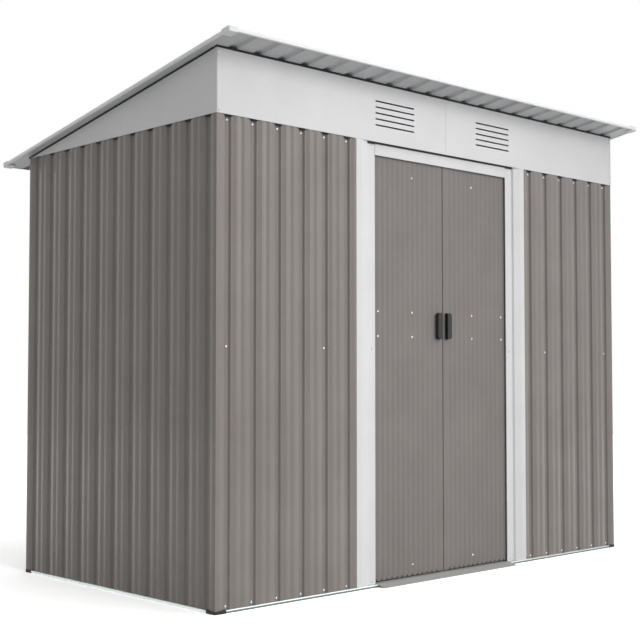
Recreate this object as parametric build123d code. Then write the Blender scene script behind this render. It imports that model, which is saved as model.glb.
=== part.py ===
from build123d import *
import math
import os

os.makedirs("parts", exist_ok=True)

# Metal garden shed with a one-way sloping roof, in millimetres.
# X runs along the front, Y from the front to the rear, Z up from the ground.
# The origin is on the ground under the middle of the roof.

# Body and roof
body_width = 2055.0
body_depth = 1070.0
roof_front_overhang = 102.0
roof_rear_overhang = 128.0
roof_side_overhang = 37.5
wall_foot = 10.0
wall_height = 1460.0
fascia_height = 196.0
fascia_lap = 25.0
roof_gap = 5.0
fascia_seam = 0.8

# Ribbed wall sheet
sheet = 1.0
least_groove_pitch = 97.0
corner_pan = 46.0
casing_pan = 54.5
groove_depth = 10.5
groove_floor = 15.0
groove_flank = 5.0
shoulder_width = 18.0
shoulder_drop = 4.0
bead_width = 24.0
bead_depth = 2.0

# Door casing in three steps, from the wall face back to the door
casing_sheet = 1.2
doorway_width = 696.0
casing_reveal = 39.0
casing_face = 39.0
casing_lap = 20.0
casing_step = 5.5
casing_head = 20.0
panel_under_casing = 16.0
lintel_height = 34.5
lintel_gap = 7.0

# Sliding doors
door_setback = 18.0
door_clearance = 5.0
door_overlap = 20.0
door_sheet = 1.0
door_rib_pitch = 25.5
door_rib_depth = 0.8
door_rib_floor = 6.0
door_rib_flank = 3.0
door_edge_return = 16.0
door_under_lintel = 25.0
door_rail_depth = 18.0
door_rail_height = 30.0
door_middle_rail_height = 98.0
door_middle_rail_depth = 12.0

# Pulls on the door leaves
handle_height = 92.0
handle_width = 22.0
handle_proud = 13.0
handle_centre_height = 866.0
handle_edge = 11.5
handle_corner = 12.0
handle_wall = 3.0
handle_grip = 6.0

# Gliders and tracks
running_gap = 0.3
glider_length = 44.0
glider_inset = 30.0
glider_stem = 10.0
glider_stem_height = 18.0
glider_head_height = 14.0
track_height = 44.0
track_inner_width = 42.0
track_sheet = 1.2
guide_width = 10.0
guide_height = 9.0

# Floor frame
rail_sheet = 1.5
rail_width = 40.0
front_rail_width = 64.0
rail_upstand = 26.0
foot_leg = 40.0
foot_proud = 1.5
foot_round = 3.0
sill_run = 30.0
sill_front_height = 2.0
sill_lap = 20.0
sill_sheet = 1.0

# Inner frame of bent strip
frame_sheet = 1.2
top_rail_leg = 32.0
top_rail_height = 42.0
top_rail_gap = 2.0
top_rail_setback = 30.0
brace_height = 40.0
brace_leg = 20.0
brace_centre_height = 781.0
brace_end_gap = 70.0
roof_beam_width = 40.0
roof_beam_height = 30.0

# Vents in the fascia
vent_centre = 260.5
vent_width = 190.5
vent_bottom_height = 55.0
vent_slots = 5
vent_pitch = 20.0
vent_slot = 5.0

# Ribbed roof sheet and its edging
roof_rib_pitch = 96.8
roof_rib_depth = 8.0
roof_rib_top = 24.0
roof_rib_flank = 8.0
roof_sheet = 1.0
trim_sheet = 1.2
trim_leg = 18.0
trim_lip = 5.0
trim_height = 12.0
cap_leg = 34.0
cap_height = 16.0
cap_round = 5.0
overrun = 50.0

# Heights and planes that follow from those sizes
roof_length = body_width + 2 * roof_side_overhang
roof_depth = roof_front_overhang + body_depth + roof_rear_overhang
half_width = body_width / 2
front_y = roof_front_overhang - roof_depth / 2
rear_y = front_y + body_depth
fascia_foot = wall_foot + wall_height
wall_top = fascia_foot + fascia_lap
slope = math.degrees(math.atan2(fascia_height, body_depth))
slope_rise = fascia_height / body_depth
roof_profile = roof_rib_depth + roof_sheet
roof_run = roof_depth / math.cos(math.radians(slope))
frame_line = groove_depth + sheet
doorway_half = doorway_width / 2
casing_outer = doorway_half + casing_reveal + casing_face + casing_lap
lintel_foot = fascia_foot - lintel_gap - lintel_height
door_top = lintel_foot + door_under_lintel
door_back = door_setback + door_rib_depth + door_sheet
door_foot = wall_foot + sill_sheet + door_clearance
door_rail_foot = wall_foot + guide_height + door_clearance
leaf_width = doorway_half + door_overlap - door_clearance / 2

# Roof plane: its middle surface, square to the slope, with its origin on the front edge
roof_normal = Vector(0, math.sin(math.radians(slope)), math.cos(math.radians(slope)))
roof_under_front = fascia_foot + fascia_height + roof_gap + roof_front_overhang * slope_rise
roof_edge_height = roof_under_front + roof_profile / 2 / math.cos(math.radians(slope))
roof_plane = Plane(origin=(0, -roof_depth / 2, roof_edge_height), x_dir=(1, 0, 0), z_dir=roof_normal)


class Wall:
    """One side of the body: where it starts, which way it runs and which way is in."""

    def __init__(self, start, along, inward, length):
        self.start = Vector(*start)
        self.along = Vector(*along)
        self.inward = Vector(*inward)
        self.length = length

    def upright(self, run, height):
        """Plane for a plan outline: x along the wall, y inward, drawn up from a height."""
        origin = self.start + self.along * run + Vector(0, 0, height)
        return Plane(origin=origin, x_dir=self.along, z_dir=(0, 0, 1))

    def section(self, run):
        """Plane for a cross-section: x inward, y up, drawn out along the wall."""
        return Plane(origin=self.start + self.along * run, x_dir=self.inward, z_dir=self.along)


front = Wall((-half_width, front_y, 0), (1, 0, 0), (0, 1, 0), body_width)
left = Wall((-half_width, rear_y, 0), (0, -1, 0), (1, 0, 0), body_depth)
rear = Wall((half_width, rear_y, 0), (-1, 0, 0), (0, -1, 0), body_width)
right = Wall((half_width, front_y, 0), (0, 1, 0), (-1, 0, 0), body_depth)


def bent_sheet(points, thickness):
    """Outline of a sheet bent along the points, its thickness on the left of the run."""
    path = [Vector(*point) for point in points]
    runs = [(after - before).normalized() for before, after in zip(path, path[1:])]
    inner = []
    for index, point in enumerate(path):
        before = runs[max(index - 1, 0)]
        after = runs[min(index, len(runs) - 1)]
        to_left = Vector(-before.Y - after.Y, before.X + after.X)
        inner.append(point + to_left * (thickness / (1 + before.dot(after))))
    return make_face(Polyline(*path, *reversed(inner), close=True))


def draw_out(face, length):
    return extrude(face, amount=length, dir=(0, 0, 1))


def block(plane, low, high):
    """Box between two corners given in a plane's own x, y and z."""
    size = [b - a for a, b in zip(low, high)]
    middle = [(a + b) / 2 for a, b in zip(low, high)]
    return plane * Pos(*middle) * Box(*size)


def save(node, *solids):
    shape = solids[0] if len(solids) == 1 else Compound(children=list(solids))
    export_step(shape, os.path.join("parts", node + ".step"))


# Walls

def groove_points(centre):
    floor = groove_floor / 2
    edge = floor + groove_flank
    outer = edge + shoulder_width
    return [
        (centre - outer, 0),
        (centre - edge, shoulder_drop),
        (centre - floor, groove_depth),
        (centre + floor, groove_depth),
        (centre + edge, shoulder_drop),
        (centre + outer, 0),
    ]


def bead_points(centre):
    return [(centre - bead_width / 2, 0), (centre, bead_depth), (centre + bead_width / 2, 0)]


def wall_sheet(wall, run, width, height, first_pan, last_pan):
    """Ribbed sheet with deep grooves between wide pans, each pan with a shallow bead."""
    grooved = width - first_pan - last_pan
    pans = math.floor(grooved / least_groove_pitch)
    pitch = grooved / pans
    points = [(0, 0)]
    for groove in range(pans + 1):
        centre = first_pan + groove * pitch
        if groove > 0:
            points += bead_points(centre - pitch / 2)
        points += groove_points(centre)
    points.append((width, 0))
    return wall.upright(run, wall_foot) * draw_out(bent_sheet(points, sheet), height)


def roof_underside(drop):
    """Everything over a plane that lies a set distance under the roof sheet."""
    low = -roof_profile / 2 - drop
    return block(roof_plane, (-roof_length, -overrun, low), (roof_length, 2 * roof_run, roof_length))


full_wall = wall_top - wall_foot
front_panel = half_width - casing_outer + panel_under_casing
front_right_run = body_width - front_panel
save("front_left_wall", wall_sheet(front, 0, front_panel, full_wall, corner_pan, casing_pan))
save("front_right_wall", wall_sheet(front, front_right_run, front_panel, full_wall, casing_pan, corner_pan))

over_walls = roof_underside(roof_gap)
side_panel = body_depth - 2 * sheet
side_pan = corner_pan - sheet
for name, wall in [("left_wall", left), ("right_wall", right)]:
    save(name, wall_sheet(wall, sheet, side_panel, full_wall, side_pan, side_pan) - over_walls)

rear_walls = ["rear_wall_right", "rear_wall_middle", "rear_wall_left"]
rear_panel = body_width / len(rear_walls)
for place, name in enumerate(rear_walls):
    save(name, wall_sheet(rear, place * rear_panel, rear_panel, wall_height, corner_pan, corner_pan))


# Floor frame

def floor_rail(wall, width, stands):
    """Low channel on the ground with an upstand behind the wall sheet where the wall stands."""
    channel = bent_sheet(
        [(0, 0), (0, wall_foot), (width, wall_foot), (width, 0)][::-1],
        rail_sheet,
    )
    length = wall.length - 2 * foot_leg
    rail = wall.section(foot_leg) * draw_out(channel, length)
    for start, end in stands:
        low = (frame_line, wall_foot - rail_sheet, start)
        high = (frame_line + rail_sheet, wall_foot + rail_upstand, end)
        rail += block(wall.section(0), low, high)
    return rail


front_stands = [
    (foot_leg, front_panel),
    (front_right_run, body_width - foot_leg),
]
guide_line = door_back + door_rail_depth / 2
guide_low = guide_line - guide_width / 2 - running_gap
guide_high = guide_line + guide_width / 2 + running_gap
front_rail = floor_rail(front, front_rail_width, front_stands)
for guide_face in (guide_low - track_sheet, guide_high):
    low = (guide_face, wall_foot - rail_sheet, foot_leg)
    high = (guide_face + track_sheet, wall_foot + guide_height, body_width - foot_leg)
    front_rail += block(front.section(0), low, high)
save("front_floor_rail", front_rail)
for name, wall in [("rear_floor_rail", rear), ("left_floor_rail", left), ("right_floor_rail", right)]:
    save(name, floor_rail(wall, rail_width, [(foot_leg, wall.length - foot_leg)]))


def corner_foot(wall):
    """Black shoe that joins two floor rails, a little proud of the walls."""
    low = (-foot_proud, -foot_proud, 0)
    foot = block(wall.upright(0, 0), low, (foot_leg, foot_leg, wall_foot))
    return fillet(foot.edges().filter_by(Axis.Z).sort_by_distance(wall.start)[0], foot_round)


save("corner_feet", *[corner_foot(wall) for wall in (front, left, rear, right)])

sill_top = wall_foot + sill_sheet
sill_section = make_face(
    Polyline(
        (-sill_run, 0),
        (0, 0),
        (0, wall_foot),
        (sill_lap, wall_foot),
        (sill_lap, sill_top),
        (0, sill_top),
        (-sill_run, sill_front_height),
        close=True,
    )
)
sill_start = half_width - doorway_half
save("door_sill", front.section(sill_start) * draw_out(sill_section, doorway_width))


# Door casing

def door_jamb(side):
    """Stepped white casing beside the doorway, on the wall panel's edge."""
    face_line = -casing_sheet
    middle_line = face_line + casing_step
    inner_line = frame_line - casing_sheet
    return_line = door_setback - door_clearance
    edges = [doorway_half + reach for reach in (0, casing_reveal, casing_reveal + casing_face)]
    points = [
        (edges[0], return_line),
        (edges[0], inner_line),
        (edges[1], inner_line),
        (edges[1], middle_line),
        (edges[2], middle_line),
        (edges[2], face_line),
        (casing_outer, face_line),
    ]
    jamb = draw_out(bent_sheet(points, casing_sheet), wall_height + casing_head)
    lap_low = (edges[2], -overrun, wall_height)
    jamb -= block(Plane.XY, lap_low, (casing_outer + overrun, overrun, wall_height + overrun))
    notch_low = (0, -overrun, wall_height - lintel_gap)
    notch_high = (edges[1], overrun, wall_height + overrun)
    jamb -= block(Plane.XY, notch_low, notch_high)
    behind_low = (0, frame_line, lintel_foot - wall_foot)
    jamb -= block(Plane.XY, behind_low, notch_high)
    jamb = front.upright(half_width, wall_foot) * jamb
    return jamb if side > 0 else mirror(jamb, Plane.YZ)


save("left_door_jamb", door_jamb(-1))
save("right_door_jamb", door_jamb(1))

lintel_section = bent_sheet(
    [
        (frame_line - casing_sheet, lintel_foot + lintel_height),
        (frame_line - casing_sheet, lintel_foot),
        (door_setback - door_clearance, lintel_foot),
    ],
    casing_sheet,
)
save("door_lintel", front.section(half_width - doorway_half) * draw_out(lintel_section, doorway_width))

track_top = door_top + track_height
track_back = frame_line + track_sheet + track_inner_width
track_section = bent_sheet(
    [
        (frame_line, door_top),
        (frame_line, track_top),
        (track_back + track_sheet, track_top),
        (track_back + track_sheet, door_top),
    ][::-1],
    track_sheet,
)
track_length = body_width - 2 * frame_line
save("door_track", front.section(frame_line) * draw_out(track_section, track_length))


# Fascia and gables

def fascia_half():
    """Right half of the white sheet over the front walls and doorway, with a row of vent slots."""
    middle_plane = front.upright(half_width, fascia_foot)
    edge = (fascia_seam / 2, -sheet, 0)
    half = block(middle_plane, edge, (half_width + sheet, 0, fascia_height))
    for slot in range(vent_slots):
        slot_foot = vent_bottom_height + slot * vent_pitch
        slot_low = (vent_centre - vent_width / 2, -overrun, slot_foot)
        slot_high = (vent_centre + vent_width / 2, overrun, slot_foot + vent_slot)
        half -= block(middle_plane, slot_low, slot_high)
    return half


save("front_fascia_right", fascia_half())
save("front_fascia_left", mirror(fascia_half(), Plane.YZ))

gable_outline = make_face(
    Polyline(
        (front_y, fascia_foot),
        (rear_y, fascia_foot),
        (front_y, fascia_foot + fascia_height),
        close=True,
    )
)
gable_plane = Plane(origin=(half_width, 0, 0), x_dir=(0, 1, 0), z_dir=(1, 0, 0))
right_gable = gable_plane * draw_out(gable_outline, sheet)
save("right_gable", right_gable)
save("left_gable", mirror(right_gable, Plane.YZ))


# Frame under the roof

inner_half = half_width - frame_line
roof_over_front = fascia_foot + fascia_height + roof_gap
roof_over_rear = roof_over_front - body_depth * slope_rise


def top_rail(wall, line, roof_height, rise):
    """Bent strip along a wall's top: a leg on the wall and a leg under the roof sheet."""
    seat = roof_height + line * rise
    inner_seat = seat + top_rail_leg * rise
    points = [(line, seat - top_rail_height), (line, seat), (line + top_rail_leg, inner_seat)]
    return wall.section(frame_line) * draw_out(bent_sheet(points[::-1], frame_sheet), 2 * inner_half)


save("front_top_rail", top_rail(front, top_rail_setback, roof_over_front, -slope_rise))
save("rear_top_rail", top_rail(rear, frame_line, roof_over_rear, slope_rise))

under_roof = -roof_profile / 2
cosine = math.cos(math.radians(slope))
front_rail_end = (roof_front_overhang + top_rail_setback + top_rail_leg) / cosine + top_rail_gap
rear_rail_end = (roof_front_overhang + body_depth - frame_line - top_rail_leg) / cosine - top_rail_gap


def side_top_rail():
    top = (inner_half, rear_rail_end, under_roof)
    leg_low = (inner_half - top_rail_leg, front_rail_end, under_roof - frame_sheet)
    web_low = (inner_half - frame_sheet, front_rail_end, under_roof - top_rail_height)
    return block(roof_plane, leg_low, top) + block(roof_plane, web_low, top)


save("right_top_rail", side_top_rail())
save("left_top_rail", mirror(side_top_rail(), Plane.YZ))

beam_half = inner_half - top_rail_leg
beam_v = (front_rail_end + rear_rail_end - roof_beam_width) / 2
beam_section = bent_sheet(
    [
        (0, -roof_beam_height),
        (0, 0),
        (roof_beam_width, 0),
        (roof_beam_width, -roof_beam_height),
    ][::-1],
    frame_sheet,
)
beam_plane = Plane(
    origin=roof_plane.from_local_coords(Vector(-beam_half, beam_v, under_roof)),
    x_dir=roof_plane.y_dir,
    z_dir=(1, 0, 0),
)
save("roof_beam", beam_plane * draw_out(beam_section, 2 * beam_half))


# Braces across the backs of the wall sheets

def wall_brace(wall, start, end, leg):
    low_height = brace_centre_height - brace_height / 2
    plate = (frame_line + frame_sheet, brace_centre_height + brace_height / 2, end)
    brace = block(wall.section(0), (frame_line, low_height, start), plate)
    if leg > 0:
        shelf = (frame_line + leg, low_height + frame_sheet, end)
        brace += block(wall.section(0), (frame_line, low_height, start), shelf)
    return brace


for name, wall in [("left_wall_brace", left), ("right_wall_brace", right), ("rear_wall_brace", rear)]:
    save(name, wall_brace(wall, brace_end_gap, wall.length - brace_end_gap, brace_leg))
save(
    "front_wall_braces",
    wall_brace(front, brace_end_gap, front_panel, 0),
    wall_brace(front, front_right_run, body_width - brace_end_gap, 0),
)


# Roof sheets, edging and corner caps

def roof_rib_points(centre):
    top = roof_rib_top / 2
    foot = top + roof_rib_flank
    low = -roof_profile / 2
    high = low + roof_rib_depth
    return [(centre - foot, low), (centre - top, high), (centre + top, high), (centre + foot, low)]


roof_panels = ["roof_panel_left", "roof_panel_middle", "roof_panel_right"]
sheet_half = roof_length / 2 - trim_sheet
panel_ribs = math.floor(2 * sheet_half / len(roof_panels) / roof_rib_pitch)
panel_span = roof_rib_pitch * panel_ribs
last_panel = len(roof_panels) - 1
sheet_start = trim_sheet
sheet_end = roof_run - trim_sheet


def cap_block(side, low_v):
    corner = (side * roof_length / 2, low_v, -cap_height / 2)
    inner = (side * (roof_length / 2 - cap_leg), low_v + cap_leg, cap_height / 2)
    low = tuple(min(pair) for pair in zip(corner, inner))
    high = tuple(max(pair) for pair in zip(corner, inner))
    return block(Plane.XY, low, high)


cap_places = [(side, low_v) for side in (-1, 1) for low_v in (0, roof_run - cap_leg)]


def roof_panel(place):
    """Sheet with raised ribs from front to rear; the end sheets reach out to the edging."""
    middle = (place - last_panel / 2) * panel_span
    low_x = -sheet_half if place == 0 else middle - panel_span / 2
    high_x = sheet_half if place == last_panel else middle + panel_span / 2
    low_rib = middle - panel_span / 2 + roof_rib_pitch / 2
    low = -roof_profile / 2
    points = [(low_x, low)]
    for rib in range(panel_ribs):
        points += roof_rib_points(low_rib + rib * roof_rib_pitch)
    points.append((high_x, low))
    outline = Plane.XZ * bent_sheet(points, roof_sheet)
    panel = Pos(0, sheet_start, 0) * extrude(outline, amount=sheet_end - sheet_start, dir=(0, 1, 0))
    for side, low_v in cap_places:
        panel -= cap_block(side, low_v)
    return roof_plane * panel


for place, name in enumerate(roof_panels):
    save(name, roof_panel(place))


def edge_trim(length):
    """Channel along a roof edge: web on x = 0, a leg over the sheet and a lip under it."""
    half = trim_height / 2 - trim_sheet
    points = [(trim_lip, -half), (0, -half), (0, half), (trim_leg, half)]
    shell = bent_sheet(points, trim_sheet)
    return draw_out(shell, length)


def trim_plane(x, v, inward, along):
    return Plane(origin=(x, v, 0), x_dir=inward, z_dir=along)


front_trim = trim_plane(-roof_length / 2 + cap_leg, trim_sheet, (0, 1, 0), (1, 0, 0))
rear_trim = trim_plane(roof_length / 2 - cap_leg, roof_run - trim_sheet, (0, -1, 0), (-1, 0, 0))
left_trim = trim_plane(-sheet_half, roof_run - cap_leg, (1, 0, 0), (0, -1, 0))
right_trim = trim_plane(sheet_half, cap_leg, (-1, 0, 0), (0, 1, 0))
long_trim = roof_length - 2 * cap_leg
short_trim = roof_run - 2 * cap_leg
save("roof_front_trim", roof_plane * front_trim * edge_trim(long_trim))
save("roof_rear_trim", roof_plane * rear_trim * edge_trim(long_trim))
save("roof_left_trim", roof_plane * left_trim * edge_trim(short_trim))
save("roof_right_trim", roof_plane * right_trim * edge_trim(short_trim))


def corner_cap(side, low_v):
    cap = cap_block(side, low_v)
    outer = Vector(side * roof_length / 2, 0 if low_v == 0 else roof_run, 0)
    upright_edge = cap.edges().filter_by(Axis.Z).sort_by_distance(outer)[0]
    return roof_plane * fillet(upright_edge, cap_round)


save("roof_corner_caps", *[corner_cap(side, low_v) for side, low_v in cap_places])


# Sliding doors, drawn as the right-hand leaf and mirrored for the left

leaf_start = door_clearance / 2
leaf_end = leaf_start + leaf_width
handle_start = leaf_start + handle_edge
handle_end = handle_start + handle_width
handle_foot = handle_centre_height - handle_height / 2


def leaf_block(low, high):
    """Box in the doorway's frame: x from the middle, depth behind the wall face, height."""
    return block(front.upright(half_width, 0), low, high)


def door_leaf():
    edge_line = door_setback + door_edge_return
    flat = leaf_width - 2 * door_rib_pitch
    ribs = round(flat / door_rib_pitch)
    pitch = flat / ribs
    first = leaf_start + door_rib_pitch + pitch / 2
    points = [(leaf_start, edge_line), (leaf_start, door_setback)]
    for rib in range(ribs):
        centre = first + rib * pitch
        floor = door_rib_floor / 2
        edge = floor + door_rib_flank
        points += [
            (centre - edge, door_setback),
            (centre - floor, door_setback + door_rib_depth),
            (centre + floor, door_setback + door_rib_depth),
            (centre + edge, door_setback),
        ]
    points += [(leaf_end, door_setback), (leaf_end, edge_line)]
    leaf = draw_out(bent_sheet(points, door_sheet), door_top - door_foot)
    leaf = front.upright(half_width, door_foot) * leaf
    return leaf - leaf_block((0, door_back, 0), (leaf_end + overrun, edge_line + overrun, door_rail_foot))


def door_rails():
    low_x = leaf_start + door_sheet
    high_x = leaf_end - door_sheet
    back = door_back + door_rail_depth
    middle_foot = handle_centre_height - door_middle_rail_height / 2
    top = leaf_block((low_x, door_back, door_top - door_rail_height), (high_x, back, door_top))
    middle = leaf_block(
        (low_x, door_back, middle_foot),
        (high_x, door_back + door_middle_rail_depth, middle_foot + door_middle_rail_height),
    )
    bottom_top = door_rail_foot + door_rail_height
    bottom = leaf_block((low_x, door_back, door_rail_foot), (high_x, back, bottom_top))
    return [top, middle, bottom]


def door_gliders():
    """Nylon gliders: tees over the top rail in the track, blocks under the bottom rail in the guide."""
    track_low = frame_line + track_sheet + running_gap
    track_high = track_back - running_gap
    head_foot = door_top + glider_stem_height
    gliders = []
    for start in (leaf_start + glider_inset, leaf_end - glider_inset - glider_length):
        end = start + glider_length
        stem = leaf_block(
            (start, guide_line - glider_stem / 2, door_top),
            (end, guide_line + glider_stem / 2, head_foot),
        )
        head = leaf_block(
            (start, track_low, head_foot),
            (end, track_high, head_foot + glider_head_height),
        )
        gliders.append(stem + head)
        gliders.append(
            leaf_block(
                (start, guide_line - guide_width / 2, wall_foot + running_gap),
                (end, guide_line + guide_width / 2, door_rail_foot),
            )
        )
    return gliders


def door_handle():
    """Black pull with a finger slot that opens towards the meeting line."""
    face = door_setback - handle_proud
    pull = leaf_block(
        (handle_start, face, handle_foot),
        (handle_end, door_setback, handle_foot + handle_height),
    )
    far_edges = pull.edges().filter_by(Axis.Y).sort_by(Axis.X)[-2:]
    pull = fillet(far_edges, handle_corner)
    slot_low = (handle_start - overrun, face + handle_wall, handle_foot + handle_wall)
    slot_top = handle_foot + handle_height - handle_wall
    return pull - leaf_block(slot_low, (handle_end - handle_grip, door_setback - handle_wall, slot_top))


door_pieces = {
    "leaf": [door_leaf()],
    "rails": door_rails(),
    "gliders": door_gliders(),
    "handle": [door_handle()],
}
for piece, solids in door_pieces.items():
    save("right_door_" + piece, *solids)
    save("left_door_" + piece, *[mirror(solid, Plane.YZ) for solid in solids])
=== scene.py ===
import math

import bmesh
import bpy
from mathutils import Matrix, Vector


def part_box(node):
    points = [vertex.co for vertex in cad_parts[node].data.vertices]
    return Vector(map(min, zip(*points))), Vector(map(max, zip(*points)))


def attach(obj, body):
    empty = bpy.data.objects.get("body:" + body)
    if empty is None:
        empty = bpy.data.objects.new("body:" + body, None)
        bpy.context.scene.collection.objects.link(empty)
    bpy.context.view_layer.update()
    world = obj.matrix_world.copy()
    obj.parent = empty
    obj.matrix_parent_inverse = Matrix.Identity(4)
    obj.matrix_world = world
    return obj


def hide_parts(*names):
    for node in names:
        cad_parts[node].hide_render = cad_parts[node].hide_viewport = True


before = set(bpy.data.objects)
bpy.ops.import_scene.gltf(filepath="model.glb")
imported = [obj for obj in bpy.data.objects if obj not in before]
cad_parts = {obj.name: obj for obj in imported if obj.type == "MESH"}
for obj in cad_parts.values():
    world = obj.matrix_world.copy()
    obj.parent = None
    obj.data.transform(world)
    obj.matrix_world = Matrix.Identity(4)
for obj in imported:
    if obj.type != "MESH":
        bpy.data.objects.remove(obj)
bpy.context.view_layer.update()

MM = 0.001

# Sizes of the shed, in millimetres: X along the front to the right, Y to the rear, Z up.
HALF_WIDTH = 1027.5
FRONT_Y = -548.0
REAR_Y = 522.0
WALL_FOOT = 10.0
WALL_TOP = 1495.0
REAR_WALL_TOP = 1470.0
ROOF_DEPTH = 1300.0
ROOF_HALF_LENGTH = 1065.0
FASCIA_FOOT = 1470.0
FASCIA_HEIGHT = 196.0
ROOF_GAP = 5.0
ROOF_FRONT_OVERHANG = 102.0
SLOPE_RISE = FASCIA_HEIGHT / (REAR_Y - FRONT_Y)
SLOPE = math.atan(SLOPE_RISE)
SHEET_GAUGE = 0.8

SIDES = (("left", -1), ("right", 1))
TO_RIGHT, TO_LEFT, TO_REAR, TO_FRONT = (1, 0), (-1, 0), (0, 1), (0, -1)


# Paints, metals and plastics

def linear(hex_colour):
    """Linear red, green, blue and alpha from an sRGB hex colour."""
    parts = [int(hex_colour[i:i + 2], 16) / 255 for i in (1, 3, 5)]
    return [c / 12.92 if c <= 0.04045 else ((c + 0.055) / 1.055) ** 2.4 for c in parts] + [1]


def add_node(tree, kind, inputs=None, **settings):
    """Adds a node, sets its properties, then links or sets its inputs."""
    made = tree.nodes.new(kind)
    for name, value in settings.items():
        setattr(made, name, value)
    for name, value in (inputs or {}).items():
        if isinstance(value, bpy.types.NodeSocket):
            tree.links.new(value, made.inputs[name])
        else:
            made.inputs[name].default_value = value
    return made


def repeats(period_mm):
    """Texture scale that gives a pattern of this many millimetres."""
    return 1 / (period_mm * MM)


def new_finish(name):
    finish = bpy.data.materials.new(name)
    finish.use_nodes = True
    tree = finish.node_tree
    tree.nodes.clear()
    place = add_node(tree, "ShaderNodeTexCoord").outputs["Object"]
    return finish, tree, place


def two_tones(tree, pattern, dark, light, span):
    """Colour that goes from dark to light while the pattern crosses the span."""
    low, high = span
    share = add_node(tree, "ShaderNodeMapRange", {"Value": pattern, "From Min": low, "From Max": high})
    tones = {0: share.outputs["Result"], 6: linear(dark), 7: linear(light)}
    return add_node(tree, "ShaderNodeMix", tones, data_type="RGBA").outputs[2]


def dress(tree, colour, pattern, roughness, swing, relief, relief_mm, **kind):
    """Surface whose gloss swings a little with a pattern and whose skin has a slight relief."""
    gloss = add_node(tree, "ShaderNodeMapRange",
                     {"Value": pattern, "To Min": roughness - swing, "To Max": roughness + swing})
    skin = add_node(tree, "ShaderNodeBump",
                    {"Height": relief, "Strength": 1.0, "Distance": relief_mm * MM})
    shader = add_node(tree, "ShaderNodeBsdfPrincipled",
                      {"Base Color": colour, "Roughness": gloss.outputs["Result"],
                       "Normal": skin.outputs["Normal"], **kind})
    add_node(tree, "ShaderNodeOutputMaterial", {"Surface": shader.outputs["BSDF"]})


CLOUD_MM, CLOUD_SPAN = 160, (0.3, 0.7)
PEEL_MM, PEEL_DEPTH = 1.6, 0.006
COAT_IOR = 1.28
COAT_SWING = 0.03
SPANGLE_MM, SPANGLE_SPAN = 7, (0.1, 0.9)
ROLL_MARK_MM, ROLL_MARK_DEPTH = 5, 0.01
ZINC_SWING = 0.06
GRAIN_SPAN, GRAIN_DEPTH = (0.3, 0.7), 0.03
PLASTIC_IOR = 1.5
PLASTIC_SWING = 0.05


def coil_coat(name, dark, light, roughness):
    """Roller-painted steel strip: even colour with a faint cloud and a fine orange-peel skin."""
    finish, tree, place = new_finish(name)
    cloud = add_node(tree, "ShaderNodeTexNoise",
                     {"Vector": place, "Scale": repeats(CLOUD_MM), "Detail": 3}).outputs["Fac"]
    peel = add_node(tree, "ShaderNodeTexNoise",
                    {"Vector": place, "Scale": repeats(PEEL_MM), "Detail": 1}).outputs["Fac"]
    colour = two_tones(tree, cloud, dark, light, CLOUD_SPAN)
    dress(tree, colour, cloud, roughness, COAT_SWING, peel, PEEL_DEPTH, IOR=COAT_IOR)
    return finish


def galvanised(name, dark, light, roughness):
    """Hot-dip zinc on strip steel: pale metal with crystal spangle a few millimetres wide."""
    finish, tree, place = new_finish(name)
    cells = add_node(tree, "ShaderNodeTexVoronoi", {"Vector": place, "Scale": repeats(SPANGLE_MM)})
    tone = add_node(tree, "ShaderNodeSeparateColor", {"Color": cells.outputs["Color"]}).outputs["Red"]
    marks = add_node(tree, "ShaderNodeTexNoise",
                     {"Vector": place, "Scale": repeats(ROLL_MARK_MM), "Detail": 2}).outputs["Fac"]
    colour = two_tones(tree, tone, dark, light, SPANGLE_SPAN)
    dress(tree, colour, tone, roughness, ZINC_SWING, marks, ROLL_MARK_DEPTH, Metallic=1.0)
    return finish


def moulded(name, dark, light, roughness, grain_mm):
    """Moulded plastic, rubber or foam: one dense colour with the fine grain of its mould."""
    finish, tree, place = new_finish(name)
    grain = add_node(tree, "ShaderNodeTexNoise",
                     {"Vector": place, "Scale": repeats(grain_mm), "Detail": 2}).outputs["Fac"]
    colour = two_tones(tree, grain, dark, light, GRAIN_SPAN)
    dress(tree, colour, grain, roughness, PLASTIC_SWING, grain, GRAIN_DEPTH, IOR=PLASTIC_IOR)
    return finish


# The wall sheets shine along their ribs, and the doors and their track are duller. The track's dark taupe is
# painted shade for the gap under the lintel.
taupe_coat = coil_coat("taupe coil-coated steel", "#857F7B", "#8B8581", 0.17)
door_coat = coil_coat("taupe coil-coated door steel", "#7D7774", "#837D7A", 0.50)
shaded_track_coat = coil_coat("taupe track steel darkened for painted shade", "#55504D", "#5B5653", 0.40)
# White fascia and casing are satin, the roof a shade greyer and the sill flat grey. The edging is painted
# whiter than the fascia, a painted highlight for the light it catches clear of the roof's shadow.
white_coat = coil_coat("white coil-coated steel", "#D9D9DA", "#DFDFE0", 0.38)
roof_coat = coil_coat("pale grey coil-coated roofing steel", "#C1C2C3", "#C7C8C9", 0.40)
lit_trim_coat = coil_coat("white coil-coated edging steel", "#EDEDED", "#F1F1F1", 0.35)
sill_coat = coil_coat("matt grey painted sill steel", "#A0A2A0", "#A6A8A6", 0.62)
# Zinc is mottled on the frame strip. On the rolled nosing it is painted lighter, a painted highlight, and on
# the tuck under the front and rear nosings it is painted dark, as painted shade.
zinc_strip = galvanised("galvanised strip steel", "#B4BABA", "#D6DCDC", 0.36)
shaded_tuck_zinc = galvanised("zinc darkened for painted shade", "#6E7877", "#788281", 0.60)
lit_rail_zinc = galvanised("galvanised rolled rail steel", "#DCE2E2", "#E6EBEB", 0.34)
# Plated screw heads catch a small bright point. Those in the casing are duller, so they hardly show on white.
zinc_screw = galvanised("zinc-plated screw steel", "#DADCDC", "#EEF0F0", 0.28)
dull_screw = galvanised("dull zinc-plated casing screw steel", "#BCBEBE", "#CACCCC", 0.50)
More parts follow.
